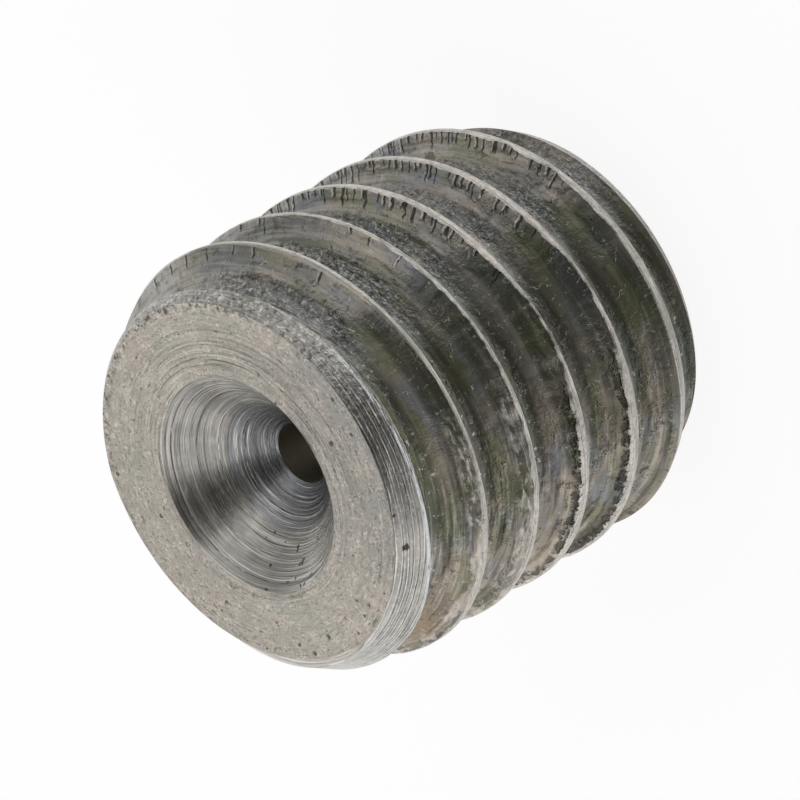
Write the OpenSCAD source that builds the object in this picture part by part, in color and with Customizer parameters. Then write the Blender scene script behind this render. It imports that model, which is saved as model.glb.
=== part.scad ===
// Throttle screw: a short headless screw with a fine bore along its axis.
// It stands on its socket end, with the countersunk end up.
// The axis is Z, the floor is z = 0, and every size is in millimetres.

/* [Thread] */
// Diameter over the thread crests
major_d = 5.95; // [5.5:0.05:6.5]
// Pitch of the single-start right-hand thread
pitch = 1.0; // [0.8:0.05:1.1]
// Width of the flat land on each crest
crest_w = 0.125; // [0.06:0.005:0.2]
// Angle between the two flanks of a groove
thread_angle = 60; // [55:1:62]
// Radius of the rounded root of the groove
root_r = 0.2; // [0.12:0.01:0.22]
// Height of the lower edge of a crest, on the +X side
crest_start = 0.77; // [0:0.01:1]

/* [Blank] */
// Overall length
length = 6.0; // [5:0.1:10]
// Diameter of the flat on each end
face_d = 5.04; // [4.6:0.02:5.3]
// Width of the broken edge around each flat
edge_break = 0.06; // [0.03:0.01:0.12]
// Slope of the lead chamfer, measured from the axis
lead_angle = 27; // [20:1:45]

/* [Throttle passage] */
// Diameter of the throttle bore
bore_d = 0.85; // [0.4:0.05:1.6]
// Diameter of the countersink where it meets the face
sink_d = 3.0; // [2.2:0.05:3.8]
// Full angle of the countersink
sink_angle = 90; // [80:1:120]

/* [Hexagon socket] */
// Width across the flats of the socket
socket_af = 3.0; // [2:0.1:3.2]
// Depth of the socket flats
socket_depth = 2.5; // [1.5:0.1:3]
// Full angle of the drill point at the bottom of the socket
drill_angle = 120; // [110:1:140]
// Width of the 45 degree chamfer at the corners of the socket's mouth
socket_chamfer = 0.15; // [0.05:0.01:0.3]

/* [Hidden] */
STEEL = "#a29d95";            // dull turned steel
EPS = 0.01;                   // overrun of every cut
turn_steps = 72;              // facets around one turn of the thread
root_steps = 4;               // facets across the rounded root
flank = thread_angle / 2;     // slope of one flank from the radial direction
major_r = major_d / 2;
groove_w = pitch - crest_w;   // groove width at the crests
// The two flanks would meet in a sharp V here.
vee_r = major_r - groove_w / 2 / tan(flank);
// Centre of the root arc, which touches both flanks.
root_centre_r = vee_r + root_r / sin(flank);
// The rod is longer than the blank by this at both ends, so its caps are cut off.
overrun = 1.3 * pitch;
sink_depth = (sink_d - bore_d) / 2 / tan(sink_angle / 2);
socket_corner_d = socket_af / cos(30);
drill_depth = (socket_af - bore_d) / 2 / tan(drill_angle / 2);
socket_mouth_d = socket_corner_d + 2 * socket_chamfer;
// The chamfer cuts deepest into the middle of each flat.
socket_mouth_depth = (socket_mouth_d - socket_af) / 2;

// One pitch of the thread as [radius, height] points: the lower and upper
// edges of a crest, then the root arc above it.
function root_angle(i) = -(90 - flank) + 2 * (90 - flank) * i / root_steps;
function root_point(i) = [
    root_centre_r - root_r * cos(root_angle(i)),
    crest_w + groove_w / 2 + root_r * sin(root_angle(i))
];
thread_profile = concat(
    [[major_r, 0], [major_r, crest_w]],
    [for (i = [0 : root_steps]) root_point(i)]
);

// A thread profile swept along a right-hand helix and closed at both ends by
// fans that meet on the axis. The fans lie outside the finished length.
module threaded_rod() {
    m = len(thread_profile);
    n = turn_steps;
    low = crest_start - pitch * ceil((crest_start + overrun) / pitch);
    turns = ceil((length + overrun - low) / pitch);
    steps = n * turns;
    sweep = [
        for (k = [0 : steps + n], j = [0 : m - 1])
            if (k <= steps || j == 0)
                let (p = thread_profile[j], a = 360 * k / n)
                [p[0] * cos(a), p[0] * sin(a), low + pitch * k / n + p[1]]
    ];
    // Index of profile point j at step k; point m is the next turn's point 0.
    function at(k, j) =
        let (kk = j == m ? k + n : k, jj = j == m ? 0 : j)
        kk <= steps ? kk * m + jj : (steps + 1) * m + (kk - steps - 1);
    foot = len(sweep);
    head = foot + 1;
    points = concat(sweep, [[0, 0, low], [0, 0, low + pitch * (turns + 1)]]);
    sides = [
        for (k = [0 : steps - 1], j = [0 : m - 1], half = [0, 1])
            half == 0
                ? [at(k, j), at(k, j + 1), at(k + 1, j)]
                : [at(k, j + 1), at(k + 1, j + 1), at(k + 1, j)]
    ];
    foot_fan = concat(
        [for (k = [0 : n - 1]) [foot, at(k, 0), at(k + 1, 0)]],
        [for (j = [0 : m - 1]) [foot, at(0, j + 1), at(0, j)]]
    );
    head_fan = concat(
        [for (k = [0 : n - 1]) [head, at(steps + k + 1, 0), at(steps + k, 0)]],
        [for (j = [0 : m - 1]) [head, at(steps, j), at(steps, j + 1)]]
    );
    polyhedron(points = points, faces = concat(sides, foot_fan, head_fan));
}

// The turned bar before threading: two flats, broken edges and lead chamfers.
module blank() {
    face_r = face_d / 2;
    land_r = major_r + 0.2;
    lead_l = (land_r - face_r - edge_break) / tan(lead_angle);
    rotate_extrude($fn = 96)
        polygon([
            [0, 0],
            [face_r, 0],
            [face_r + edge_break, edge_break],
            [land_r, edge_break + lead_l],
            [land_r, length - edge_break - lead_l],
            [face_r + edge_break, length - edge_break],
            [face_r, length],
            [0, length]
        ]);
}

// Countersink and throttle bore, cut from the upper end.
module throttle_passage() {
    translate([0, 0, length - sink_depth])
        cylinder(
            h = sink_depth + EPS,
            d1 = bore_d,
            d2 = sink_d + 2 * EPS * tan(sink_angle / 2),
            $fn = 96
        );
    translate([0, 0, socket_depth])
        cylinder(h = length - socket_depth, d = bore_d, $fn = 48);
}

// Hexagon socket with its drill point and chamfered mouth, cut from below.
module hex_socket() {
    translate([0, 0, -EPS])
        cylinder(h = socket_depth + EPS, d = socket_corner_d, $fn = 6);
    translate([0, 0, socket_depth - EPS])
        cylinder(h = drill_depth + EPS, d1 = socket_af, d2 = bore_d, $fn = 48);
    translate([0, 0, -EPS])
        cylinder(
            h = socket_mouth_depth + 2 * EPS,
            d1 = socket_mouth_d + 2 * EPS,
            d2 = socket_af - 2 * EPS,
            $fn = 48
        );
}

// The whole screw is one turned and threaded piece.
module throttle_screw() {
    color(STEEL)
        difference() {
            intersection() {
                blank();
                threaded_rod();
            }
            throttle_passage();
            hex_socket();
        }
}

throttle_screw();
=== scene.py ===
# %% [markdown]
# # A throttle screw
# A short steel screw without a head. A fine bore runs along its axis and lets through a small, fixed flow.
# The upper end has a countersink that leads into the bore, and the lower end has a hexagon socket for the
# key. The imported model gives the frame: its sizes and its place. Its thread has flat facets, so the screw is
# turned and threaded again here, with a smooth helix and with the finish of real metal.

import math

import bpy
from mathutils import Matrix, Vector


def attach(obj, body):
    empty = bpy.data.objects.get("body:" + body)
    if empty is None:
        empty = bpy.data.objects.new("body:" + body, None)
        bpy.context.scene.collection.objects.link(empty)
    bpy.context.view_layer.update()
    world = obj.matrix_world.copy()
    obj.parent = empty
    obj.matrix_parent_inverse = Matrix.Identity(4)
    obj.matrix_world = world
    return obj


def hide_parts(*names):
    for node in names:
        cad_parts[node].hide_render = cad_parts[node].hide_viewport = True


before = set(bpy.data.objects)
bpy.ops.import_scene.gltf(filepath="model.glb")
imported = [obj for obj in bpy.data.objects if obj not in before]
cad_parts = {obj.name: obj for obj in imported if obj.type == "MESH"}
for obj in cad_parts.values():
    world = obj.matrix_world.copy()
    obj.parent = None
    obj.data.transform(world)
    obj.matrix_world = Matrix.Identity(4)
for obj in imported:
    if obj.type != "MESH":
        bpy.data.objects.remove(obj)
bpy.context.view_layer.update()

# %% [markdown]
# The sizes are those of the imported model, in millimetres. Shapes are modelled at one unit to the millimetre,
# because Blender's merge and boolean tools expect sizes of about 1, and are shrunk to metres at the end.
# A name that ends in R is a radius and one that ends in W a width. AF is the width across the flats.

# %% Sizes in millimetres
MM = 0.001
LENGTH = 6.0
MAJOR_R = 2.975
PITCH = 1.0
# The flat land on the crest, and the height of its lower edge on the +X side.
CREST_W = 0.125
CREST_START = 0.77
# Slope of the flanks, and the rounded root between them.
FLANK = math.radians(30)
ROOT_R = 0.2
# The flat on each end, its broken edge, and the slope of the lead chamfer, measured from the axis.
FACE_R = 2.52
EDGE_BREAK = 0.06
LEAD = math.radians(27)
BORE_R = 0.425
SINK_R = 1.5
SOCKET_AF = 3.0
SOCKET_DEPTH = 2.5
SOCKET_CHAMFER = 0.15
HALF_GROOVE = (PITCH - CREST_W) / 2
FULL_TURN = 2 * math.pi
print("half a groove at the crests, mm:", HALF_GROOVE)

# %% [markdown]
# The camera looks down on the standing screw from about 40 degrees and is rolled, so that the axis runs
# from the upper right to the lower left of the picture. Three directions say how it is held, which is
# simpler than three angles. A long lens keeps the two ends of the screw nearly the same size.

# %% Camera
VIEW_RIGHT = Vector((0.70056, -0.27495, -0.65849))
VIEW_BACK = Vector((0.71359, 0.26993, 0.64647))
VIEW_AIM = Vector((1.377, 0.467, 4.285))
VIEW_DISTANCE = 87.2
LONG_LENS = 306.8
SENSOR_WIDTH = 36

camera_data = bpy.data.cameras.new("camera")
camera_data.lens = LONG_LENS
camera_data.sensor_width = SENSOR_WIDTH
camera_data.clip_start = 0.001
camera = bpy.data.objects.new("camera", camera_data)
bpy.context.scene.collection.objects.link(camera)
back = VIEW_BACK.normalized()
up = back.cross(VIEW_RIGHT).normalized()
right = up.cross(back)
held = camera.matrix_world.to_3x3()
held.col[0] = right
held.col[1] = up
held.col[2] = back
camera.matrix_world = held.to_4x4()
camera.location = (VIEW_AIM + back * VIEW_DISTANCE) * MM
bpy.context.scene.camera = camera
print("camera at, mm:", [round(v / MM, 1) for v in camera.location])

# %% [markdown]
# A finish is a tree of nodes, and most of the nodes only do sums. Written out one by one they hide the
# idea, so an output of a node is wrapped in a Value here. Two Values can be added or multiplied like
# numbers, and each such sum adds one Math node to the tree.

# %% Values that nodes work out
class Value:
    """What one output of a node gives. Values take + - * / with numbers and with each other."""

    def __init__(self, tree, socket):
        self.tree = tree
        self.socket = socket

    def __add__(self, other):
        return calc("ADD", self, other)

    def __sub__(self, other):
        return calc("SUBTRACT", self, other)

    def __rsub__(self, other):
        return calc("SUBTRACT", other, self)

    def __mul__(self, other):
        return calc("MULTIPLY", self, other)

    def __truediv__(self, other):
        return calc("DIVIDE", self, other)


# %% [markdown]
# Adding a node by hand takes a line for each of its inputs and links. Short helpers do it in one call.

# %% Adding nodes
def new_tree(name):
    """A new material and its empty tree."""
    material = bpy.data.materials.new(name)
    material.use_nodes = True
    material.node_tree.nodes.clear()
    return material, material.node_tree


def new_node(tree, kind, fields, inputs):
    """Adds a node. An input is named as in Blender, or by its number as i0, i1 and so on."""
    node = tree.nodes.new(kind)
    for name, value in fields.items():
        setattr(node, name, value)
    for name, value in inputs.items():
        by_number = name[0] == "i" and name[1:].isdigit()
        socket = node.inputs[int(name[1:]) if by_number else name.replace("_", " ")]
        if isinstance(value, Value):
            tree.links.new(value.socket, socket)
        else:
            socket.default_value = value
    return node


def add(tree, kind, out=0, fields=None, **inputs):
    """Adds a node and returns one of its outputs, given by its number."""
    return Value(tree, new_node(tree, kind, fields or {}, inputs).outputs[out])


def add_all(tree, kind, fields=None, **inputs):
    """Adds a node and returns all its outputs by name."""
    outputs = new_node(tree, kind, fields or {}, inputs).outputs
    return {socket.name: Value(tree, socket) for socket in outputs}


# %% [markdown]
# A mask is a number between 0 and 1 that says where something shows. Masks are built from a few moves: a soft
# step from 0 to 1, a band around a number, and the largest of several masks.

# %% Sums and masks
def calc(operation, *numbers, clamp=False):
    """One Math node. At least one of the numbers is a Value."""
    tree = next(number.tree for number in numbers if isinstance(number, Value))
    inputs = {f"i{place}": number for place, number in enumerate(numbers)}
    return add(tree, "ShaderNodeMath", fields={"operation": operation, "use_clamp": clamp}, **inputs)


def vector(operation, first, out=0, **inputs):
    """One Vector Math node. Where the answer is a number and not a vector, out is 1."""
    return add(first.tree, "ShaderNodeVectorMath", out, {"operation": operation}, i0=first, **inputs)


def most(first, *others):
    """The largest of the values."""
    for other in others:
        first = calc("MAXIMUM", first, other)
    return first


def step(value, low, high):
    """0 below low, 1 above high, and a soft slope between; low may be the larger."""
    fields = {"interpolation_type": "SMOOTHSTEP"}
    return add(value.tree, "ShaderNodeMapRange", fields=fields, i0=value, i1=low, i2=high)


def near(value, middle, inner, outer):
    """1 within inner of the middle, 0 beyond outer."""
    return step(calc("ABSOLUTE", value - middle), outer, inner)


# %% [markdown]
# A finish is painted like a model: a base colour first, then thin coats over it, each where its mask shows.
# Noise keeps the coats from looking even.

# %% Colours and noise
def blend(mask, a, b):
    """Colour a where the mask is 0 and colour b where it is 1."""
    return add(mask.tree, "ShaderNodeMix", 2, {"data_type": "RGBA"}, i0=mask, i6=a, i7=b)


def blend_value(mask, a, b):
    """Number a where the mask is 0 and number b where it is 1."""
    return add(mask.tree, "ShaderNodeMix", 0, {"data_type": "FLOAT"}, i0=mask, i2=a, i3=b)


def painted(color, *coats):
    """The colour under thin coats. A coat gives its mask, its colour and how strong it is."""
    for mask, coat, amount in coats:
        color = blend(mask * amount, color, coat)
    return color


def toned(color, pattern, mask, *tones):
    """Coats that follow a pattern. A tone gives where it starts, where it is full, colour and strength."""
    for start, full, coat, amount in tones:
        color = painted(color, (step(pattern, start, full) * mask, coat, amount))
    return color


def noise(where, scale, detail=2.0, rough=0.5):
    """Smooth noise around 0.5, with about scale bumps to the unit."""
    return add(where.tree, "ShaderNodeTexNoise", Vector=where, Scale=scale, Detail=detail, Roughness=rough)


def uneven(where, scale, size):
    """A small irregular shift, up to half of size either way."""
    return noise(where, scale) * size - size / 2


# %% [markdown]
# The floor is a plain pale sheet. It keeps the soft shadow, and what sees it in a reflection sees white.
# A sheet lit only by the tent would be grey in the picture, so it glows a little, but only for the camera
# and in reflections.

# %% Floor
WHITE = (1.0, 1.0, 1.0, 1)
PALE_SHEET = (0.2, 0.2, 0.2, 1)
FLOOR_GLOW = 0.87

bpy.ops.object.select_all(action="DESELECT")
bpy.ops.mesh.primitive_plane_add(size=2.0)
floor = bpy.context.object
floor.name = "floor"
material, tree = new_tree("white_floor")
ray = add_all(tree, "ShaderNodeLightPath")
seen = most(ray["Is Camera Ray"], ray["Is Glossy Ray"], ray["Is Transmission Ray"])
paper = add(tree, "ShaderNodeBsdfDiffuse", Color=blend(seen, WHITE, PALE_SHEET))
glow = add(tree, "ShaderNodeEmission", Color=WHITE, Strength=seen * FLOOR_GLOW)
white = add(tree, "ShaderNodeAddShader", i0=paper, i1=glow)
new_node(tree, "ShaderNodeOutputMaterial", {}, {"i0": white})
floor.data.materials.append(material)
print("floor:", len(tree.nodes), "nodes")

# %% [markdown]
# The light is a white tent with one darker side, where the room shows past the camera. Bare metal takes its
# tones from what it mirrors, so lamps alone would leave it flat. Here soft dark spots in the tent shade the
# thread and the countersink, and the tent stays white for the camera itself.

# %% Light tent
# Each spot: its direction, its inner and outer radius in degrees, and how dark it is.
DARK_SPOTS = [
    ((-0.13, -0.06, 0.99), 20, 37, 0.96),
    ((0.80, 0.18, 0.58), 24, 40, 0.96),
    ((-0.50, 0.80, 0.22), 15, 45, 0.5),
]
TENT_SHADE = (0.03, 0.032, 0.026, 1)

world = bpy.data.worlds.new("tent")
bpy.context.scene.world = world
world.use_nodes = True
tree = world.node_tree
tree.nodes.clear()
direction_seen = add_all(tree, "ShaderNodeTexCoord")["Generated"]
light_left = 1.0
for direction, inner, outer, amount in DARK_SPOTS:
    facing = vector("DOT_PRODUCT", direction_seen, 1, i1=Vector(direction).normalized())
    spot = step(calc("ARCCOSINE", facing), math.radians(outer), math.radians(inner))
    light_left = (1.0 - spot * amount) * light_left
in_camera = add_all(tree, "ShaderNodeLightPath")["Is Camera Ray"]
dark_side = (1.0 - light_left) * (1.0 - in_camera)
tent = add(tree, "ShaderNodeBackground", Color=blend(dark_side, WHITE, TENT_SHADE), Strength=1.0)
new_node(tree, "ShaderNodeOutputWorld", {}, {"i0": tent})
bpy.context.scene.view_settings.view_transform = "Standard"
print("tent:", len(DARK_SPOTS), "dark spots")

# %% [markdown]
# A lathe makes round shapes, and Blender's nearest tool is a sweep. A piece starts as an outline that is
# drawn point by point beside the axis, and is then swept around it. Both the bar and the tool that cuts the
# thread are made so; the second rises by one pitch for each turn.

# %% Outline
def outline(name, points):
    """A closed loop of edges in the XZ plane through the given (radius, height) points."""
    bpy.ops.object.select_all(action="DESELECT")
    bpy.ops.mesh.primitive_plane_add(size=0.01, location=(points[0][0], 0, points[0][1]))
    piece = bpy.context.object
    piece.name = name
    bpy.ops.object.transform_apply()
    bpy.ops.object.mode_set(mode="EDIT")
    bpy.ops.mesh.merge(type="CENTER")
    for (r0, z0), (r1, z1) in zip(points, points[1:]):
        bpy.ops.mesh.extrude_region_move(TRANSFORM_OT_translate={"value": (r1 - r0, 0, z1 - z0)})
    bpy.ops.mesh.select_all(action="SELECT")
    bpy.ops.mesh.select_mode(type="VERT")
    bpy.ops.object.mode_set(mode="OBJECT")
    last = len(piece.data.vertices) - 1
    for v in piece.data.vertices:
        v.select = v.index in (0, last)
    bpy.ops.object.mode_set(mode="EDIT")
    bpy.ops.mesh.edge_face_add()
    bpy.ops.object.mode_set(mode="OBJECT")
    return piece


# %% [markdown]
# Blender's Screw modifier turns the outline around the axis in small steps. After a full turn its last points
# lie on its first, and merging them closes the seam. A sweep that rises ends elsewhere, so its two open ends
# get a face each.

# %% Sweep
SEAM_GAP = 0.0005


def sweep(piece, steps, turns=1, rise=0.0):
    """Sweeps the outline around Z, with a rise for each turn, and closes the seam or the two ends."""
    screw_modifier = piece.modifiers.new("sweep", "SCREW")
    screw_modifier.steps = steps
    screw_modifier.render_steps = steps
    screw_modifier.iterations = turns
    screw_modifier.screw_offset = rise
    screw_modifier.use_normal_calculate = True
    bpy.context.view_layer.objects.active = piece
    bpy.ops.object.modifier_apply(modifier=screw_modifier.name)
    bpy.ops.object.mode_set(mode="EDIT")
    bpy.ops.mesh.select_all(action="SELECT")
    bpy.ops.mesh.remove_doubles(threshold=SEAM_GAP)
    if rise:
        bpy.ops.mesh.select_all(action="DESELECT")
        bpy.ops.mesh.select_non_manifold()
        bpy.ops.mesh.edge_face_add()
    bpy.ops.mesh.select_all(action="SELECT")
    bpy.ops.mesh.normals_make_consistent(inside=False)
    bpy.ops.object.mode_set(mode="OBJECT")


# %% [markdown]
# Every finish reads the piece's own coordinates, so a pattern stays on the metal. On turned work the useful
# ones are the distance from the axis, the direction around it and, on the thread, the place across the ridge
# and the way along the helix. An image would need the surface unrolled first; these numbers don't.

# %% Coordinates on the screw
class Place:
    """The place of a point on the screw, in millimetres."""

    def __init__(self, tree):
        self.tree = tree
        where = add_all(tree, "ShaderNodeTexCoord")["Object"]
        self.point = vector("SCALE", where, i3=1 / MM)
        split = add_all(tree, "ShaderNodeSeparateXYZ", i0=self.point)
        self.height = split["Z"]
        flat = add(tree, "ShaderNodeCombineXYZ", i0=split["X"], i1=split["Y"])
        self.radius = vector("LENGTH", flat, 1)
        self.around = vector("NORMALIZE", flat)
        self.angle = calc("ARCTAN2", split["Y"], split["X"])
        climb = self.height - (CREST_START - HALF_GROOVE) - self.angle * (PITCH / FULL_TURN)
        # Distance across the ridge: 0 at the lower edge of the land, CREST_W at its upper edge.
        self.across = calc("FLOORED_MODULO", climb, PITCH) - HALF_GROOVE
        # Turns along the helix, counted from the lower end, and the same in millimetres.
        self.turn = calc("FLOOR", climb / PITCH) + self.angle / FULL_TURN
        self.along = self.turn * (FULL_TURN * MAJOR_R)

    def toward(self, degrees):
        """1 on the side that faces the given direction, -1 on the opposite side."""
        side = (math.cos(math.radians(degrees)), math.sin(math.radians(degrees)), 0)
        return vector("DOT_PRODUCT", self.around, 1, i1=side)

    def rings(self, value, around, over, detail=3.0, rough=0.6):
        """Noise that changes slowly around the axis and fast with the given value."""
        turned = vector("SCALE", self.around, i3=around)
        side = add(self.tree, "ShaderNodeCombineXYZ", i2=value * over)
        return noise(vector("ADD", turned, i1=side), 1.0, detail, rough)

    def pattern(self, along, across, layer, detail=3.0, rough=0.6):
        """Noise that follows the thread, with so many units a millimetre along it and across it."""
        where = add(self.tree, "ShaderNodeCombineXYZ",
                    i0=self.along * along, i1=self.across * across, i2=layer)
        return noise(where, 1.0, detail, rough)


# %% [markdown]
# All the finishes are steel: fully metallic, with a colour, a roughness and fine relief. The relief is a
# bump, which bends the light as if the surface were uneven. Modelling it would take millions of points. Where
# a tool has combed the metal in one direction, the reflections stretch across its marks.

# %% Steel
def steel(color, roughness, height, depth, combed=0.0):
    """Joins colour, roughness and relief into one surface; depth is that of the relief, in millimetres."""
    tree = color.tree
    normal = add(tree, "ShaderNodeBump", Strength=1.0, Distance=depth * MM, Height=height)
    inputs = {"Base_Color": color, "Metallic": 1.0, "Roughness": roughness, "Normal": normal}
    if combed:
        inputs["Anisotropic"] = combed
        inputs["Tangent"] = add(tree, "ShaderNodeTangent", fields={"direction_type": "RADIAL", "axis": "Z"})
    shader = add(tree, "ShaderNodeBsdfPrincipled", **inputs)
    new_node(tree, "ShaderNodeOutputMaterial", {}, {"i0": shader})


# %% [markdown]
# Small pits are scattered over every machined surface. A cell pattern puts one point in each cell, and two
# numbers drawn for the cell say whether it holds a pit and how large the pit is.

# %% Pits
def specks(where, count, share, size):
    """Ragged small spots: about count cells a millimetre, of which a share holds a spot."""
    cells = add_all(where.tree, "ShaderNodeTexVoronoi", Vector=where, Scale=count)
    drawn = add_all(where.tree, "ShaderNodeSeparateColor", i0=cells["Color"])
    reach = cells["Distance"] / count + uneven(where, 22.0, 0.06)
    limit = (drawn["Green"] * 0.8 + 0.3) * size
    spot = step(reach - limit, 0.006, -0.006)
    return spot * calc("GREATER_THAN", share, drawn["Red"])


def pit_at(at, center, bent, outer, inner):
    """One pit at a given place: dark within the inner radius and gone beyond the outer one."""
    return step(vector("DISTANCE", at.point, 1, i1=center) + bent, outer, inner)


# %% [markdown]
# The flat ends were faced on the lathe. The tool left rings, which are deepest near the countersink, and the
# metal between them has a fine, sandy grain. The rim took small chips when the bar was threaded.

# %% Turned face: masks
# Each pit: its place on the upper face and its radius.
PITS = [
    (-0.52, 2.41, 0.05),
    (-1.43, 1.35, 0.03),
    (-1.05, -1.65, 0.035),
    (-0.21, -1.92, 0.03),
    (0.09, -2.23, 0.035),
    (0.33, -2.34, 0.045),
    (0.68, -2.10, 0.04),
    (1.47, -1.79, 0.03),
    (1.40, -1.58, 0.025),
]


def face_ring_mask(at, blotch):
    """How strongly the rings show: most near the countersink, and in patches near the rim."""
    inner = step(at.radius, 2.35, 1.7) * step(at.toward(75), -0.3, 0.6)
    near_cone = step(at.radius, 1.85, 1.58) * 0.55
    near_rim = step(at.radius, 2.15, 2.4) * step(at.toward(-60), 0.3, 0.9) * step(blotch, 0.42, 0.58)
    return calc("ADD", most(inner, near_cone, near_rim * 0.7), 0.12, clamp=True)


def face_dots(at):
    """Scattered small pits, more of them near the rim, and the few larger ones."""
    dots = specks(at.point, 5.0, step(at.radius, 2.2, 2.45) * 0.4 + 0.08, 0.035)
    bent = uneven(at.point, 18.0, 0.06)
    for x, y, size in PITS:
        dots = most(dots, pit_at(at, (x, y, LENGTH), bent, size, size * 0.5))
    return dots


# %% [markdown]
# The face is painted from the broad to the fine: patches of warm and grey steel, the sandy grain, the rings,
# the chips and the pits. The relief uses the same patterns, so that what is dark also lies deep.

# %% Turned face
def turned_face():
    """Flat ends: pale and fine-grained, with rings, pits, and chips at the rim."""
    material, tree = new_tree("turned_face")
    at = Place(tree)
    fine = noise(at.point, 26.0, 3.0, 0.7)
    grain = at.rings(at.radius, 18.0, 20.0, 4.0, 0.7)
    cloud = noise(at.point, 5.0, 3.0, 0.6)
    blotch = noise(at.point, 2.2, 3.0, 0.6)
    rings = at.rings(at.radius, 1.5, 34.0, 3.0, 0.65)
    ringed = face_ring_mask(at, blotch)
    color = blend(step(cloud, 0.36, 0.64), (0.53, 0.485, 0.43, 1), (0.64, 0.585, 0.515, 1))
    grey = step(at.toward(10), 0.55, 0.95) * step(blotch, 0.3, 0.6)
    broad = ringed * step(at.rings(at.radius, 2.0, 9.0), 0.50, 0.34)
    color = painted(
        color,
        (step(blotch, 0.48, 0.62), (0.51, 0.50, 0.44, 1), 0.7),
        (grey, (0.38, 0.375, 0.36, 1), 0.5),
        (broad, (0.33, 0.31, 0.28, 1), 0.5),
    )
    sandy = (step(cloud, 0.40, 0.60) * 0.55 + 0.45) * 0.9
    grain_dark = (0.46, 0.31, (0.13, 0.12, 0.10, 1), 0.95)
    grain_light = (0.54, 0.70, (0.95, 0.90, 0.82, 1), 0.85)
    color = toned(color, grain, sandy, grain_dark, grain_light)
    color = toned(color, fine, sandy, grain_dark, grain_light)
    ring_dark = (0.48, 0.33, (0.15, 0.14, 0.12, 1), 0.8)
    ring_light = (0.54, 0.68, (0.88, 0.83, 0.75, 1), 0.6)
    color = toned(color, rings, ringed, ring_dark, ring_light)
    # Chips along the rim, most of them on one side.
    chips = noise(at.point, 11.0, 3.0, 0.7)
    chipped = step(at.radius, 2.36, 2.48) * (step(at.toward(120), 0.3, 0.9) * 0.8 + 0.2)
    chip_dark = (0.50, 0.38, (0.09, 0.08, 0.07, 1), 0.8)
    chip_light = (0.54, 0.64, (0.85, 0.82, 0.77, 1), 0.7)
    color = toned(color, chips, chipped, chip_dark, chip_light)
    dots = face_dots(at)
    color = painted(color, (dots, (0.07, 0.06, 0.05, 1), 0.75))
    height = grain * 0.7 + rings * ringed + chips * chipped * 1.5 - dots
    steel(color, 0.5, height, depth=0.02)
    return material


face_finish = turned_face()
print("turned face:", len(face_finish.node_tree.nodes), "nodes")

# %% [markdown]
# A lathe tool moves on a little with each turn of the bar, and so it leaves a ridge like a very fine thread.
# On the lead chamfers the ridges lie about 0.04 mm apart. A sine wave along the height makes them, noise lets
# them waver, and a second, finer wave keeps them from looking ruled.

# %% Lead chamfer: ridges
FEED = 0.04
FINE_FEED = 0.025


def feed_ridges(at):
    """The ridges of the feed, between 0 in a valley and 1 on a ridge."""
    waver = at.rings(at.height, 2.5, 14.0, 3.0, 0.65)
    feed = calc("SINE", waver * 11.0 + at.height * (FULL_TURN / FEED))
    finer = calc("SINE", waver * 14.0 + at.height * (FULL_TURN / FINE_FEED))
    return feed * 0.35 + 0.5 + finer * 0.18


def ridge_strength(at, worn, rough_side):
    """How clearly the ridges show: in strips, less on the rough side, most on the side toward -70 degrees."""
    strong = step(at.rings(at.height, 3.0, 9.0, 2.0, 0.6), 0.35, 0.65) * 0.7 + 0.3
    strong = strong * (step(worn, 0.35, 0.58) * 0.7 + 0.3) * (1.0 - rough_side * 0.6)
    return most(strong, step(at.toward(-70), 0.3, 0.8) * 0.85)


# %% [markdown]
# Handling left its marks too. Oil has dried to a brown stain, and just below the face there is one deep pit. A
# painted highlight runs along the edge where the first groove runs out, and the broken edge is lighter on one
# side.

# %% Lead chamfer: marks
def lead_marks(at, worn, color):
    """A brown stain, a painted highlight where the first groove runs out, and a lighter strip on the broken
    edge.
    """
    stain = step(at.toward(-45), 0.97, 0.995) * step(at.height, 5.46, 5.36)
    run_out = at.height - (at.angle * 0.123 + 5.632)
    # Painted highlight along the edge where the first groove runs out.
    painted_edge_highlight = near(run_out, 0.02, 0.01, 0.035) * step(at.toward(0), 0.6, 0.85) * step(worn, 0.35, 0.5)
    corner = step(at.height, 5.93, 5.96) * step(at.toward(-100), 0.2, 0.8)
    return painted(
        color,
        (stain, (0.23, 0.18, 0.12, 1), 0.8),
        (painted_edge_highlight, (0.86, 0.88, 0.93, 1), 0.7),
        (corner, (0.78, 0.75, 0.70, 1), 0.5),
    )


def lead_dots(at):
    """Scattered small pits and the one deep pit just below the face."""
    deep = pit_at(at, (2.45, -0.87, 5.88), uneven(at.point, 14.0, 0.1), 0.055, 0.03)
    return most(specks(at.point, 4.0, 0.1, 0.045), deep)
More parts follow.
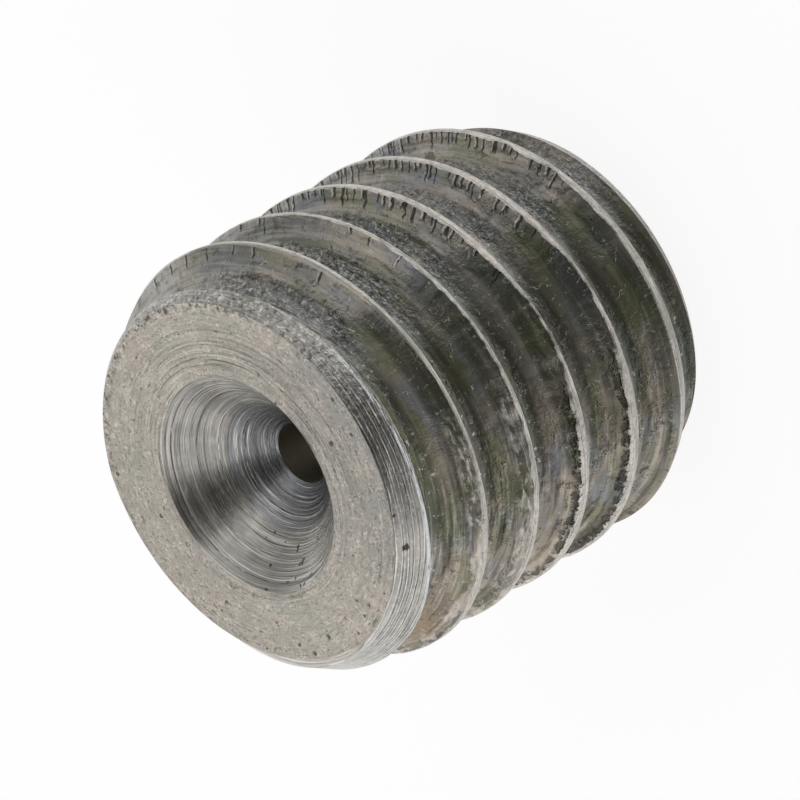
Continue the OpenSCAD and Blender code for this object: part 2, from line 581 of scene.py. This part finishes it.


# %% [markdown]
# The tones of the chamfer change around the screw. Painted shade darkens the sides that look into the dark of
# the room, a painted highlight lightens the lower side, and one side is chipped. Each tone is a thin coat over
# the colour before it.

# %% Lead chamfer
def turned_lead():
    """Lead chamfers: bright steel with the ridges of the feed, chips, a stain, one deep pit, and painted light
    and shade.
    """
    material, tree = new_tree("turned_lead")
    at = Place(tree)
    worn = at.rings(at.height, 10.0, 30.0, 3.0, 0.7)
    rough_side = step(at.toward(90), 0.1, 0.8)
    feed = feed_ridges(at)
    strong = ridge_strength(at, worn, rough_side)
    grain = at.rings(at.height, 34.0, 20.0, 3.0, 0.75)
    grainy = rough_side * 0.6 + 0.4
    blotch = noise(at.point, 3.0, 3.0, 0.6)
    color = blend(step(blotch, 0.35, 0.65), (0.36, 0.35, 0.33, 1), (0.48, 0.46, 0.42, 1))
    # Painted highlight on the side toward -95 degrees, and painted shade on the sides toward 10 and 60
    # degrees.
    color = toned(color, at.toward(-95), 1.0, (0.75, 1.0, (0.80, 0.78, 0.74, 1), 0.4))
    color = toned(color, at.toward(10), 1.0, (0.85, 0.99, (0.10, 0.10, 0.095, 1), 0.5))
    color = toned(color, at.toward(60), 1.0, (0.75, 0.95, (0.15, 0.145, 0.135, 1), 0.35))
    ridge_dark = (0.35, 0.05, (0.10, 0.095, 0.085, 1), 0.8)
    ridge_light = (0.65, 0.95, (0.95, 0.93, 0.89, 1), 0.8)
    color = toned(color, feed, strong, ridge_dark, ridge_light)
    grain_dark = (0.47, 0.31, (0.11, 0.10, 0.09, 1), 0.9)
    grain_light = (0.54, 0.70, (0.90, 0.88, 0.84, 1), 0.8)
    color = toned(color, grain, grainy, grain_dark, grain_light)
    chips = noise(at.point, 12.0, 3.0, 0.75)
    chipped = rough_side * 0.8
    chip_dark = (0.43, 0.35, (0.08, 0.075, 0.07, 1), 0.75)
    chip_light = (0.57, 0.64, (0.85, 0.83, 0.79, 1), 0.7)
    color = toned(color, chips, chipped, chip_dark, chip_light)
    color = lead_marks(at, worn, color)
    dots = lead_dots(at)
    color = painted(color, (dots, (0.045, 0.028, 0.022, 1), 0.9))
    height = grain * grainy + feed * strong + chips * chipped * 1.5 - dots * 0.7
    steel(color, 0.34, height, depth=0.012)
    return material


lead_finish = turned_lead()
print("lead chamfer:", len(lead_finish.node_tree.nodes), "nodes")

# %% [markdown]
# The thread was cut with a die, which rubbed the crests bright and tore the flanks. Its finish needs to know
# the
# regions first: the flat land on the crest, the flanks beside it, the oily side under painted shade, the root
# of the groove.
# They are worked out once here, with the patterns that several of the finish's steps share.

# %% Thread: regions and patterns
class Thread(Place):
    """A place on the thread, with the regions and the patterns that its finish is built from."""

    def __init__(self, tree):
        super().__init__(tree)
        self.depth = MAJOR_R - self.radius
        self.above = self.depth * math.tan(FLANK)
        self.find_patterns()
        self.find_crest()
        self.find_flank()

    def find_patterns(self):
        """Noise along the thread, from broad patches to fine grit. The layers keep them apart."""
        self.patches = self.pattern(1.2, 3.5, 4.0, detail=4.0)
        self.films = self.pattern(0.9, 5.0, 14.0)
        self.streaks = self.pattern(0.6, 13.0, 5.0, 2.0, 0.55)
        self.fine_lines = self.pattern(1.0, 42.0, 15.0, 2.0)
        self.blots = self.pattern(4.0, 8.0, 8.0, 3.0, 0.65)
        self.grit = self.pattern(10.0, 15.0, 6.0, 3.0, 0.7)
        self.flecks = self.pattern(12.0, 26.0, 16.0, 3.0, 0.7)
        curled = near(self.pattern(7.0, 9.0, 12.0, 1.0, 0.5), 0.5, 0.012, 0.03)
        self.curls = curled * step(self.blots, 0.44, 0.34)

    def find_crest(self):
        """The land, and where the die tore its edge: a ragged line with painted shadow below it on one side,
        nicks on the other.
        """
        self.lower_turns = step(self.turn, 2.7, 2.4)
        self.line = self.lower_turns * step(self.toward(-60), 0.3, 0.6) * step(self.turn, 0.3, 0.7)
        self.nick_side = step(self.toward(97), 0.35, 0.85)
        # How far the rub of the land reaches over its rounded edge.
        teeth = self.pattern(13.0, 0.0, 19.0, 3.0, 0.7)
        past_land = self.depth / blend_value(self.line, 0.014, teeth * 0.1 - 0.005)
        self.land = step(past_land, 1.3, 0.7)
        self.off_land = step(past_land, 0.7, 1.2) * step(self.across, 0.03, 0.06)

    def find_flank(self):
        """The root of the groove, the oily side under painted shade, and the clean, the dry and the lined
        parts.
        """
        self.root = most(step(self.across, 0.33, 0.43), step(self.across, -0.25, -0.38))
        # Oil in patches, and painted shade on the side toward 10 degrees that looks into the dark of the room.
        self.oil_and_shade = step(self.patches * 0.6 + step(self.toward(10), 0.72, 0.97), 0.45, 0.95)
        self.clean = (1.0 - self.oil_and_shade * 0.75) * (1.0 - step(self.toward(90), 0.3, 0.8) * 0.5)
        rough = step(self.pattern(1.5, 5.0, 33.0, 2.0), 0.4, 0.6)
        rough = most(rough, step(self.toward(110), 0.6, 0.9) * 0.7)
        self.dry = (1.0 - self.oil_and_shade * 0.55) * (rough * 0.8 + 0.2)
        # A rough strip along the foot of the flank.
        strip = near(self.across, 0.40, 0.06, 0.12) * step(self.toward(66), 0.83, 0.95)
        self.band = strip * (rough * 0.5 + 0.5) * (step(self.turn, 1.8, 2.6) * 0.45 + 0.55)
        streaky = step(self.toward(-50), 0.3, 0.8) * (0.6 - self.lower_turns * 0.35)
        self.lined = most(
            (self.root * 0.4 + 0.25) * self.clean,
            streaky * step(self.patches, 0.35, 0.55),
            step(self.toward(110), 0.7, 0.95) * 0.45,
        )


# %% [markdown]
# Where the die caught, it left short cuts that run down the flank from the crest, each with a bright facet
# beside it. They stand in a row along the thread, so a cell pattern in one dimension places them: one cell
# to a cut, with its own length and width.

# %% Thread: nicks
def nicks(at, count, amount):
    """Cuts down the flank from the crest, about count a millimetre, and the bright facets beside them."""
    sway = at.pattern(6.0, 15.0, 3.0 + count)
    place = sway * 0.11 + (at.above * 0.4 + at.along)
    cells = add_all(at.tree, "ShaderNodeTexVoronoi", {"voronoi_dimensions": "1D"}, W=place, Scale=count)
    drawn = add_all(at.tree, "ShaderNodeSeparateColor", i0=cells["Color"])
    beside = place - cells["W"]
    length = drawn["Red"] * 0.09 + 0.05
    width = drawn["Green"] * 0.01 + 0.009
    shown = step(at.above - length, 0.0, -0.03) * calc("GREATER_THAN", amount, drawn["Blue"])
    dark = step(calc("ABSOLUTE", beside) - width, 0.005, -0.004) * shown
    facet = near(beside, 0.035, 0.012, 0.025) * shown * step(drawn["Green"], 0.3, 0.6)
    return dark, facet


def crest_marks(at):
    """Masks of what the die left beside the land, with painted shadow in the torn line: dark pits, bright
    facets, and smears on the upper turns.
    """
    edge = at.pattern(4.0, 3.0, 1.0, 3.0, 0.65) * 0.14 + (at.above - 0.07)
    # The torn line is torn metal with a painted shadow below the burr of the crest.
    torn_and_shadowed = step(edge, 0.085, 0.06) * at.line * step(at.pattern(6.0, 11.0, 9.0, 3.0, 0.65), 0.58, 0.46)
    wide_cuts, wide_facets = nicks(at, 2.6, at.nick_side * 0.6)
    fine_cuts, fine_facets = nicks(at, 8.0, at.nick_side * at.lower_turns)
    pit_and_shadow = most(torn_and_shadowed * 0.8, wide_cuts, fine_cuts) * at.off_land
    facet = most(wide_facets, fine_facets) * at.off_land
    smear = step(at.pattern(3.0, 14.0, 7.0, 3.0, 0.65), 0.47, 0.6) * step(at.above, 0.13, 0.06)
    smear = smear * (step(at.pattern(3.0, 50.0, 17.0, 2.0), 0.38, 0.55) * 0.7 + 0.3)
    side = step(at.toward(-45), 0.45, 0.7) * step(at.turn, 2.5, 2.8)
    return pit_and_shadow, facet, smear * side * at.off_land


# %% [markdown]
# The flanks have no single colour. They are warm where the metal was squeezed, olive and dark where oil
# stayed, and blue-grey toward the root. Painted shade darkens the side that looks into the dark of the room,
# and painted light makes the upper side paler. The coats go on one by one, from the broad tones to the small
# ones.

# %% Thread: colours of the flanks
def flank_color(at):
    """The broad tones of the flanks, with painted shade on one side and painted light on the upper side."""
    color = blend(step(at.patches, 0.4, 0.6), (0.325, 0.295, 0.25, 1), (0.25, 0.25, 0.24, 1))
    warm = step(at.toward(-60), 0.1, 0.7) * near(at.across, 0.26, 0.08, 0.2)
    cool = step(at.pattern(1.0, 4.0, 24.0), 0.5, 0.62)
    olive = step(at.films, 0.48, 0.6) * (at.oil_and_shade * 0.35 + 0.45)
    brown = near(at.turn, 3.95, 0.3, 0.5) * step(at.toward(-80), 0.75, 0.95)
    brown = brown * near(at.across, 0.28, 0.08, 0.16)
    # Painted light: the upper side of the flanks is paler.
    pale = step(at.toward(75), 0.4, 0.9) * step(at.across, 0.18, 0.3)
    # Painted shade over the oily side, except in the middle of the flank.
    oily_and_shaded = at.oil_and_shade * (1.0 - near(at.across, 0.31, 0.02, 0.09) * 0.9)
    root_share = step(at.toward(75), 0.55, 0.9) * 0.45 + 0.1
    mossy = step(at.across, 0.28, 0.38) * step(at.toward(18), 0.8, 0.96)
    return painted(
        color,
        (warm, (0.36, 0.285, 0.215, 1), 0.3),
        (cool, (0.245, 0.26, 0.285, 1), 0.7),
        (olive, (0.19, 0.21, 0.115, 1), 1.0),
        (brown, (0.36, 0.26, 0.165, 1), 0.6),
        (pale, (0.50, 0.475, 0.44, 1), 0.25),
        # Painted light on the upper side, toward 130 degrees.
        (step(at.toward(130), 0.85, 1.0), (0.60, 0.58, 0.54, 1), 0.5),
        (oily_and_shaded, (0.045, 0.05, 0.032, 1), 0.66),
        (at.root, (0.40, 0.415, 0.415, 1), root_share),
        (mossy, (0.20, 0.185, 0.10, 1), step(at.turn, 3.2, 3.6) * 0.15 + 0.1),
    )


# %% [markdown]
# Over the broad tones come the marks of the work itself: streaks that the die drew along the flank, fine
# lines, dark blots, curled chips, and grit. The lower flanks, which light from above doesn't reach, are
# plainer.

# %% Thread: streaks, blots and grit
def worked(at, color):
    """The colour of the flanks with the marks of the die on it."""
    streak_light = (0.52, 0.64, (0.60, 0.53, 0.44, 1), 0.6)
    streak_dark = (0.48, 0.37, (0.06, 0.06, 0.045, 1), 0.6)
    color = toned(color, at.streaks, at.clean, streak_light, streak_dark)
    line_dark = (0.48, 0.34, (0.05, 0.05, 0.04, 1), 0.8)
    line_light = (0.54, 0.68, (0.62, 0.61, 0.58, 1), 0.6)
    color = toned(color, at.fine_lines, at.lined, line_dark, line_light)
    color = toned(color, at.blots, at.dry, (0.56, 0.68, (0.05, 0.05, 0.042, 1), 0.6))
    color = painted(color, (at.curls, (0.55, 0.55, 0.50, 1), 0.4))
    color = toned(color, at.grit, at.dry, (0.58, 0.70, (0.04, 0.04, 0.035, 1), 0.7))
    lower_flank = near(at.across, -0.21, 0.12, 0.24)
    return painted(color, (lower_flank, (0.27, 0.26, 0.235, 1), 0.7))


def flecked(at, color):
    """The rough blue-grey strip along the foot of the flank, and small flecks that shine."""
    light = step(at.grit, 0.4, 0.3) * (at.root * 0.6 + 0.4)
    light = most(light, step(at.flecks, 0.46, 0.38) * at.band)
    return painted(
        color,
        (at.band, (0.12, 0.135, 0.155, 1), 0.45),
        (step(at.flecks, 0.52, 0.6) * at.band, (0.05, 0.055, 0.05, 1), 0.7),
        (light, (0.75, 0.76, 0.73, 1), 0.8),
    )


def run_out(at, color):
    """Where the groove runs out of the upper end, the metal is as clean as the chamfer."""
    end = step(at.turn, 4.5, 4.6)
    color = painted(color, (end, (0.66, 0.63, 0.585, 1), 0.8))
    line_dark = (0.48, 0.34, (0.16, 0.15, 0.13, 1), 0.7)
    line_light = (0.54, 0.68, (0.92, 0.90, 0.86, 1), 0.7)
    return toned(color, at.fine_lines, end, line_dark, line_light)


# %% [markdown]
# The lands are the only bright part of the thread. They shine where other metal rubbed them, with fine
# scratches, and carry a painted darker reflection on the side that looks into the dark of the room. The last
# turn at the upper end was rubbed least.

# %% Thread: lands, relief and the whole finish
def land_color(at):
    """The colour of the rubbed lands, with a painted dark reflection on one side."""
    shine = blend(step(at.grit, 0.35, 0.65), (0.50, 0.472, 0.43, 1), (0.70, 0.665, 0.61, 1))
    # Painted dark reflection, in patches, on the side of the lands toward 12 degrees.
    painted_dark_reflection = step(at.toward(12), 0.8, 0.98) * step(at.films, 0.35, 0.55)
    scratched = step(at.fine_lines, 0.52, 0.36)
    return painted(shine, (scratched, (0.25, 0.24, 0.22, 1), 0.6), (painted_dark_reflection, (0.16, 0.155, 0.14, 1), 0.4))


def thread_relief(at, pit_and_shadow, facet):
    """The height of the thread's relief: grit, flecks, streaks and lines, with the pits sunk into them."""
    height = at.grit * most(at.dry, at.band) - at.flecks * at.band * 1.5
    height = height + at.streaks * at.clean * 0.6 + at.lined * at.fine_lines * 0.3
    height = height + at.curls * 0.5 - at.blots * 0.4
    return height + facet * 0.5 - pit_and_shadow * 1.2


def thread_steel():
    """Thread: rubbed bright on the lands; matt, oiled and torn on the flanks; painted shade and a painted dark
    reflection on the side that looks into the dark of the room.
    """
    material, tree = new_tree("thread_steel")
    at = Thread(tree)
    pit_and_shadow, facet, smear = crest_marks(at)
    color = run_out(at, flecked(at, worked(at, flank_color(at))))
    color = painted(color, (facet, (0.62, 0.58, 0.52, 1), 0.55), (smear, (0.66, 0.61, 0.56, 1), 0.75))
    last_turn = step(at.turn, 3.45, 3.65) * step(at.toward(60), 0.0, 0.7) * step(at.across, 0.05, 0.08)
    color = blend(at.land * (1.0 - last_turn * 0.85), color, land_color(at))
    color = painted(color, (pit_and_shadow, (0.03, 0.027, 0.022, 1), 0.85))
    steel(color, blend_value(at.land, 0.42, 0.36), thread_relief(at, pit_and_shadow, facet), depth=0.035)
    return material


thread_finish = thread_steel()
print("thread:", len(thread_finish.node_tree.nodes), "nodes")

# %% [markdown]
# The countersink was cut with one pass of a tool, so its marks are clean rings, and it shines more than the
# rest. Its light comes from the tent in long streaks across the rings, and painted light and shade change its
# tone around the axis. A few rings are deeper, and toward the bore the cone grows greyer.

# %% Countersink
# Each deep ring: its radius and its width.
DEEP_RINGS = [(0.745, 0.008), (0.97, 0.005), (1.17, 0.004), (1.405, 0.008)]


def cone_tones(at, color):
    """Painted light and shade around the cone, and the two greyer rings near the bore."""
    # Painted light toward 0, 70 and -45 degrees, and painted shade toward -100 degrees.
    color = toned(color, at.toward(0), 1.0, (-0.2, 0.6, (0.85, 0.83, 0.78, 1), 0.4))
    color = toned(color, at.toward(70), 1.0, (0.75, 0.97, (0.95, 0.93, 0.88, 1), 0.75))
    color = toned(color, at.toward(-45), 1.0, (0.85, 0.97, (0.90, 0.88, 0.83, 1), 0.5))
    color = toned(color, at.toward(-100), 1.0, (0.85, 1.0, (0.18, 0.17, 0.16, 1), 0.35))
    grey_ring = (0.905, 0.885, (0.28, 0.29, 0.31, 1), 0.75)
    dark_ring = (0.755, 0.735, (0.20, 0.205, 0.215, 1), 0.6)
    return toned(color, at.radius, 1.0, grey_ring, dark_ring)


def countersink():
    """Countersink: concentric tool marks, some deeper rings and a patch of pits."""
    material, tree = new_tree("countersink")
    at = Place(tree)
    rings = at.rings(at.radius, 0.7, 52.0, 3.0, 0.65)
    fan = at.rings(at.radius, 5.0, 2.5)
    color = blend(step(fan, 0.35, 0.65), (0.36, 0.35, 0.325, 1), (0.45, 0.43, 0.395, 1))
    color = cone_tones(at, color)
    ring_dark = (0.48, 0.30, (0.12, 0.115, 0.105, 1), 0.8)
    ring_light = (0.53, 0.70, (0.82, 0.80, 0.76, 1), 0.7)
    color = toned(color, rings, 1.0, ring_dark, ring_light)
    marks = 0.0
    for radius, width in DEEP_RINGS:
        marks = most(near(at.radius, radius, width * 0.3, width), marks)
    marks = marks * step(fan, 0.35, 0.6)
    stretched = vector("MULTIPLY", at.point, i1=(1.5, 1.0, 1.0))
    pitted = step(at.toward(-70), 0.5, 0.85) * step(at.radius, 0.85, 1.05)
    dots = specks(stretched, 7.0, pitted * 0.6, 0.04)
    color = painted(color, (marks, (0.09, 0.085, 0.08, 1), 0.75), (dots, (0.06, 0.055, 0.05, 1), 0.8))
    steel(color, 0.2, rings - (marks * 0.5 + dots), depth=0.014, combed=0.7)
    return material


sink_finish = countersink()
print("countersink:", len(sink_finish.node_tree.nodes), "nodes")

# %% [markdown]
# The bore and the socket hardly show. They get plain drilled steel, a little warmer because oil stays inside,
# with the slow rings of a drill.

# %% Bore and socket
def drilled():
    """Bore and socket: plain drilled and broached steel."""
    material, tree = new_tree("drilled")
    at = Place(tree)
    marks = at.rings(at.height, 1.0, 14.0)
    steel(blend(marks, (0.33, 0.31, 0.25, 1), (0.46, 0.43, 0.36, 1)), 0.5, marks, depth=0.004)
    return material


bore_finish = drilled()
print("bore and socket:", len(bore_finish.node_tree.nodes), "nodes")

# %% [markdown]
# Each face of the mesh carries the number of its finish. The faces get their finishes before the cuts are
# made, because a cut can hand over the finish of the tool to the new faces.

# %% Finishes to faces
FINISHES = [face_finish, lead_finish, thread_finish, sink_finish, bore_finish]
FACE, LEAD_RIDGES, THREAD, SINK, DRILLED = range(5)


def finish_faces(piece, choose):
    """Gives each face the finish that choose(radius, height, normal) names."""
    piece.data.materials.clear()
    for material in FINISHES:
        piece.data.materials.append(material)
    for face in piece.data.polygons:
        face.material_index = choose(face.center.xy.length, face.center.z, face.normal)


print("finishes:", [material.name for material in FINISHES])

# %% [markdown]
# First comes the turned blank, as it leaves the lathe: two flat ends with broken edges, a lead chamfer behind
# each, the countersink, the bore and the round pilot of the socket. One closed outline sweeps out all of it.
# The pilot is slightly narrower and deeper than the hexagon, so that the hexagon cuts clean walls.

# %% Turned blank
STEPS = 480
PILOT_PLAY = 0.01
HEX_CORNER_R = SOCKET_AF / 2 / math.cos(math.radians(30))
sink_depth = SINK_R - BORE_R
pilot_r = SOCKET_AF / 2 - PILOT_PLAY
pilot_depth = SOCKET_DEPTH + PILOT_PLAY
drill_depth = (pilot_r - BORE_R) / math.tan(math.radians(60))
lead_length = (MAJOR_R - FACE_R - EDGE_BREAK) / math.tan(LEAD)
mouth_r = HEX_CORNER_R + SOCKET_CHAMFER
mouth_depth = mouth_r - pilot_r
blank = outline("screw", [
    (FACE_R, LENGTH),
    (FACE_R + EDGE_BREAK, LENGTH - EDGE_BREAK),
    (MAJOR_R, LENGTH - EDGE_BREAK - lead_length),
    (MAJOR_R, EDGE_BREAK + lead_length),
    (FACE_R + EDGE_BREAK, EDGE_BREAK),
    (FACE_R, 0),
    (mouth_r, 0),
    (pilot_r, mouth_depth),
    (pilot_r, pilot_depth),
    (BORE_R, pilot_depth + drill_depth),
    (BORE_R, LENGTH - sink_depth),
    (SINK_R, LENGTH),
])
sweep(blank, STEPS)
print("blank:", len(blank.data.vertices), "points")

# %% [markdown]
# Where a face lies says what it is: level faces are the ends, the outermost are the thread's, the ones a
# little further in are the lead chamfers, and the ones near the top inside are the countersink.

# %% Finishes of the blank
LEVEL = 0.99
NEARLY = 0.01


def blank_finish(radius, height, normal):
    """The finish of a face of the blank."""
    if abs(normal.z) > LEVEL:
        return FACE
    if radius > MAJOR_R - NEARLY:
        return THREAD
    if radius > FACE_R - NEARLY:
        return LEAD_RIDGES
    if height > LENGTH - sink_depth:
        return SINK
    return DRILLED


finish_faces(blank, blank_finish)
print("faces of the blank:", len(blank.data.polygons))

# %% [markdown]
# The thread is cut the way a die cuts it: a tool with the shape of the groove follows the helix and takes
# the metal away. What is left of the bar between two turns is the flat land on the crest. The tool's upper
# flank has more points toward the crest, because that edge is torn later on.

# %% Shape of the groove
# How far the rounding of the crest's edge reaches, and its small steps.
CREST_ROUND = 0.03
ROUND_STEP = 0.009
ROUND_TURN = math.radians(17)
# Where the points lie on each flank, from 0 at the root to 1 at the crest.
UPPER_STOPS = (0, 0.25, 0.5, 0.68, 0.8, 0.88, 0.94, 1)
LOWER_STOPS = (0, 0.5, 1)
ROOT_STEPS = 8
vee_r = MAJOR_R - HALF_GROOVE / math.tan(FLANK)
root_centre_r = vee_r + ROOT_R / math.sin(FLANK)


def groove_side(side):
    """Points from the root to above the crest; side is 1 for the upper flank and -1 for the lower."""
    start_r = root_centre_r - ROOT_R * math.sin(FLANK)
    start_z = ROOT_R * math.cos(FLANK)
    end_r = MAJOR_R - CREST_ROUND * math.tan(FLANK) * math.cos(FLANK)
    end_z = HALF_GROOVE - (MAJOR_R - end_r) * math.tan(FLANK)
    points = []
    for t in UPPER_STOPS if side > 0 else LOWER_STOPS:
        points.append((start_r + (end_r - start_r) * t, side * (start_z + (end_z - start_z) * t)))
    # Three short steps round the edge of the crest, and one leads past it.
    for i in (1, 2, 3):
        last_r, last_z = points[-1]
        slope = math.radians(60) - ROUND_TURN * i
        points.append((last_r + ROUND_STEP * math.sin(slope), last_z + side * ROUND_STEP * math.cos(slope)))
    last_r, last_z = points[-1]
    points.append((last_r + 0.02, last_z + side * 0.01))
    return points


def groove_root():
    """Points of the rounded root, from the lower flank to the upper one."""
    points = []
    for i in range(1, ROOT_STEPS):
        angle = math.radians(-60 + 120 * i / ROOT_STEPS)
        points.append((root_centre_r - ROOT_R * math.cos(angle), ROOT_R * math.sin(angle)))
    return points


groove = list(reversed(groove_side(-1))) + groove_root() + groove_side(1)
print("groove:", len(groove), "points")

# %% [markdown]
# The groove's outline is swept upward along the helix. It starts below the screw and ends above it, so that
# the two ends of the tool never touch the metal.

# %% Groove cutter
TURNS = 9
groove_z = CREST_START + CREST_W + HALF_GROOVE
first_z = groove_z - 2 * PITCH
cutter = outline("groove_cutter", [(r, z + first_z) for r, z in groove])
sweep(cutter, STEPS, TURNS, PITCH)
finish_faces(cutter, lambda radius, height, normal: THREAD)
cutter_top = max(v.co.z for v in cutter.data.vertices)
print("cutter:", len(cutter.data.vertices), "points, top at", round(cutter_top, 2))

# %% [markdown]
# The socket is broached: a six-sided tool is pushed straight in. A cylinder with six sides is that tool. It
# stands out below the screw, so that no thin skin is left in the socket's mouth.

# %% Hexagon cutter
SOCKET_OVERRUN = 1
bpy.ops.object.select_all(action="DESELECT")
bpy.ops.mesh.primitive_cylinder_add(
    vertices=6,
    radius=HEX_CORNER_R,
    depth=SOCKET_DEPTH + SOCKET_OVERRUN,
    location=(0, 0, (SOCKET_DEPTH - SOCKET_OVERRUN) / 2),
)
hexagon = bpy.context.object
hexagon.name = "hexagon_cutter"
bpy.ops.object.transform_apply()
finish_faces(hexagon, lambda radius, height, normal: DRILLED)
print("hexagon:", len(hexagon.data.vertices), "points")


# %% [markdown]
# A boolean takes the two tools away from the blank. The manifold solver is fast and leaves a closed piece,
# and with its materials set to transfer, the new faces keep the finish of the tool.

# %% Cutting
def cut(piece, tool):
    """Takes the tool's shape away from the piece and throws the tool away."""
    saw = piece.modifiers.new("cut", "BOOLEAN")
    saw.operation = "DIFFERENCE"
    saw.object = tool
    saw.solver = "MANIFOLD"
    saw.material_mode = "TRANSFER"
    bpy.context.view_layer.objects.active = piece
    bpy.ops.object.modifier_apply(modifier=saw.name)
    bpy.data.objects.remove(tool)


cut(blank, hexagon)
cut(blank, cutter)
print("screw:", len(blank.data.vertices), "points,", len(blank.data.polygons), "faces")

# %% [markdown]
# The die tore small bites out of the upper edge of the crest. They are too small for a cutter each, so the
# edge is lowered instead. A short table says where along the helix the bites are.

# %% Bites in the crest
# Each bite: its place in turns along the helix, half its length in turns, and its depth in millimetres.
BITES = [
    (2.04, 0.045, 0.08),
    (2.08, 0.02, 0.05),
    (1.035, 0.03, 0.06),
    (1.07, 0.025, 0.07),
    (0.0, 0.02, 0.03),
    (0.083, 0.012, 0.07),
    (0.12, 0.02, 0.03),
    (0.145, 0.012, 0.08),
    (0.185, 0.012, 0.05),
    (3.12, 0.28, 0.06),
    (4.14, 0.24, 0.07),
    (2.35, 0.02, 0.05),
    (1.42, 0.03, 0.06),
    (2.55, 0.03, 0.05),
    (1.6, 0.02, 0.07),
]


def bite_depth(place):
    """How deep the bites are at a place along the helix, in millimetres."""
    return sum(depth * max(0, 1 - ((place - middle) / reach) ** 2) for middle, reach, depth in BITES)


print("bites:", len(BITES))

# %% [markdown]
# A vertex group holds how far each point gives way: fully at the edge, less and less down the flank, and not
# at all near the ends of the thread. A second group, without the bites, is for the raggedness.

# %% Points of the torn edge
FULL_BITE = 0.1
TORN_WIDTH = 0.2
CLEAN_END = EDGE_BREAK + lead_length + 0.1
FADE = 0.15

bites = blank.vertex_groups.new(name="bites")
rough_edge = blank.vertex_groups.new(name="rough_edge")
for v in blank.data.vertices:
    angle = math.atan2(v.co.y, v.co.x)
    climb = v.co.z - CREST_START + HALF_GROOVE - PITCH * angle / FULL_TURN
    across = climb % PITCH - HALF_GROOVE
    close = 1 - max(0, across - CREST_W) / TORN_WIDTH
    inside = min(1, (v.co.z - CLEAN_END) / FADE, (LENGTH - CLEAN_END - v.co.z) / FADE)
    if close > 0 and inside > 0 and across > CREST_W / 2:
        depth = bite_depth(math.floor(climb / PITCH) + angle / FULL_TURN)
        bites.add([v.index], min(1, depth / FULL_BITE) * close * inside, "REPLACE")
        rough_edge.add([v.index], close * inside, "REPLACE")
print("points on the torn edge:", sum(1 for v in blank.data.vertices if v.groups))

# %% [markdown]
# Two Displace modifiers then move those points: the first makes the bites, and the second follows a cloudy
# texture and leaves the edge ragged.

# %% Torn crest edge
RAGGEDNESS = 0.1

lower = blank.modifiers.new("bites", "DISPLACE")
lower.direction = "Z"
lower.mid_level = 0.0
lower.strength = -FULL_BITE
lower.vertex_group = "bites"
clouds = bpy.data.textures.new("ragged", "CLOUDS")
clouds.noise_scale = 0.2
clouds.noise_depth = 3
ragged = blank.modifiers.new("ragged", "DISPLACE")
ragged.texture = clouds
ragged.texture_coords = "LOCAL"
ragged.direction = "Z"
ragged.mid_level = 0.6
ragged.strength = RAGGEDNESS
ragged.vertex_group = "rough_edge"
bpy.context.view_layer.objects.active = blank
bpy.ops.object.modifier_apply(modifier=lower.name)
bpy.ops.object.modifier_apply(modifier=ragged.name)
print("torn edge: bites of up to", FULL_BITE, "mm, raggedness", RAGGEDNESS, "mm")

# %% [markdown]
# The finished screw is shaded smooth, except across its real edges. The cuts leave points that nearly
# coincide, and these are merged. Then the piece shrinks from millimetres to metres and takes the place of the
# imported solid.

# %% Finish the piece
SMOOTH_BELOW = math.radians(32)
MERGE_WITHIN = 0.0002

screw = blank
bpy.ops.object.select_all(action="DESELECT")
screw.select_set(True)
bpy.context.view_layer.objects.active = screw
bpy.ops.object.shade_smooth_by_angle(angle=SMOOTH_BELOW)
bpy.ops.object.mode_set(mode="EDIT")
bpy.ops.mesh.select_all(action="SELECT")
bpy.ops.mesh.remove_doubles(threshold=MERGE_WITHIN)
bpy.ops.mesh.dissolve_degenerate(threshold=MERGE_WITHIN)
bpy.ops.transform.resize(value=(MM, MM, MM), center_override=(0, 0, 0))
bpy.ops.object.mode_set(mode="OBJECT")
screw.name = "threaded_body"
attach(screw, "root")
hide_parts("throttle_screw")
print("finished piece:", screw.name, "with", len(screw.data.polygons), "faces")
